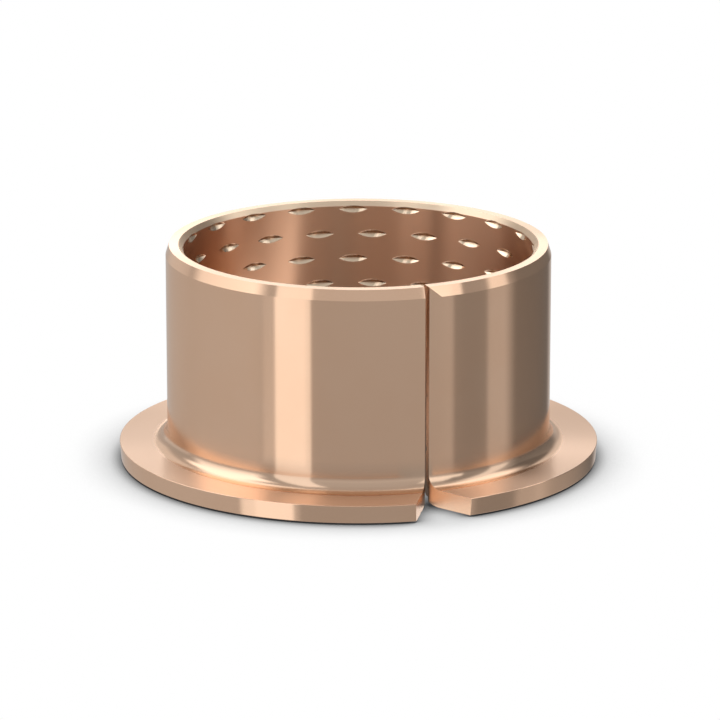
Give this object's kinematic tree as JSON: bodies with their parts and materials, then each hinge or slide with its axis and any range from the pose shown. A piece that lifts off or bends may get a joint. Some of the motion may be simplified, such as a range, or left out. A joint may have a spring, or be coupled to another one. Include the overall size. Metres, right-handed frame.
{
  "type": "wrapped bronze flanged bushing",
  "caption": "Plain flanged bushing rolled from bronze strip, with a straight joint down its side, a notch through the flange and boat-shaped grease pockets in its bore.",
  "frame": {"origin": "on the bore axis, at the thrust face of the flange that the bushing stands on", "axes": "+Z along the bore axis towards the free end; the joint in the strip faces -Y"},
  "size_m": [0.055, 0.0548, 0.025],
  "materials": {
    "bronze": "satin"
  },
  "bodies": {
    "root": {"flanged_bush": "bronze"}
  },
  "joints": []
}
